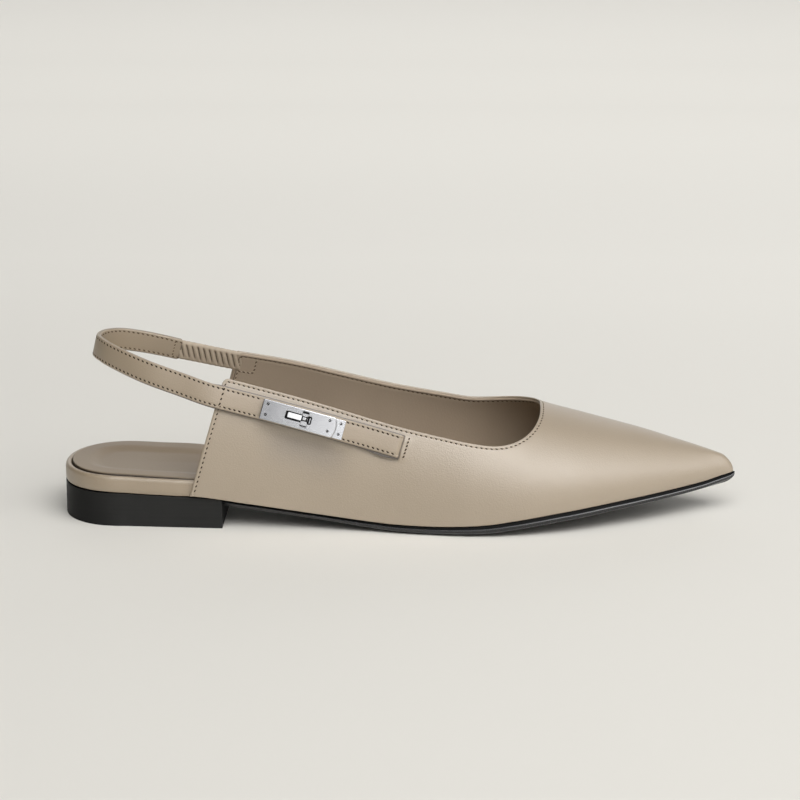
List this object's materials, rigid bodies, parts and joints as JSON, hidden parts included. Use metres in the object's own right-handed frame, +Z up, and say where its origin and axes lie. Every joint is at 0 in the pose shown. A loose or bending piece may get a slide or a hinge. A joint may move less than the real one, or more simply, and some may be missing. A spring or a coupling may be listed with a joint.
{
  "type": "slingback flat shoe",
  "caption": "Flat pointed slingback shoe with a hollow leather upper, low block heel, heel strap with a gathered elastic side and a turn-lock clasp whose knob turns.",
  "frame": {"origin": "middle of the shoe's box, on the floor it stands on", "axes": "+X to the toe, +Y to the inner side of the foot, +Z up"},
  "size_m": [0.2686, 0.0772, 0.0714],
  "materials": {
    "taupe_leather": "smooth fine grain, satin",
    "insole_leather": "smooth, matte",
    "black_sole": "satin black edge",
    "gathered_elastic": "thin leather gathered over elastic",
    "bright_metal": "brushed palladium plate"
  },
  "bodies": {
    "shoe": {"outsole": "black_sole", "heel": "black_sole", "heel_rand": "taupe_leather", "insole": "insole_leather", "upper": "taupe_leather", "sling_strap": "taupe_leather", "elastic": "gathered_elastic", "clasp_base": "bright_metal", "clasp_plate": "bright_metal", "clasp_pin_1": "bright_metal", "clasp_pin_2": "bright_metal", "clasp_pin_3": "bright_metal", "clasp_pin_4": "bright_metal", "clasp_pin_5": "bright_metal", "clasp_pin_6": "bright_metal"},
    "knob": {"turn_knob": "bright_metal"}
  },
  "joints": [
    {"name": "knob_turn", "type": "hinge", "parent": "shoe", "child": "knob", "pos_m": [-0.03634, -0.03162, 0.0451], "axis": [0.0257, -0.9501, 0.3108], "range_deg": [0, 90]}
  ]
}
